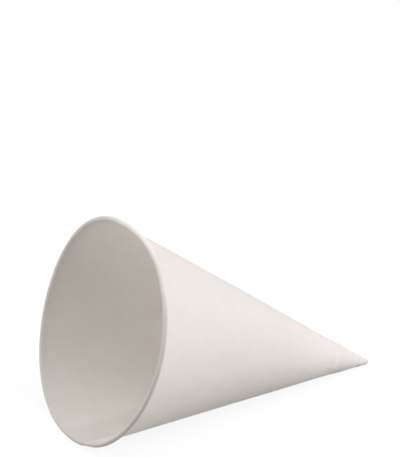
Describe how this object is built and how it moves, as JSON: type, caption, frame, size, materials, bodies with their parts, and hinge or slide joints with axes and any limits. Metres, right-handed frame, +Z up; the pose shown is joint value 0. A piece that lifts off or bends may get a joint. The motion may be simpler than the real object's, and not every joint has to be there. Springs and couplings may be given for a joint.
{
  "type": "cone paper cup",
  "caption": "Cone-shaped paper drinking cup with a rolled rim, a lapped side seam and a pressed tip, lying on its side.",
  "frame": {"origin": "middle of the cup's box, on the floor that the lying cup rests on", "axes": "+X from the mouth towards the tip, +Y across the cup, +Z up; the cup's own axis leans up towards the mouth by 19.9 degrees"},
  "size_m": [0.101, 0.07, 0.0655],
  "materials": {
    "white_paper": "matte uncoated white paper"
  },
  "bodies": {
    "root": {"paper_cone_cup": "white_paper"}
  },
  "joints": []
}
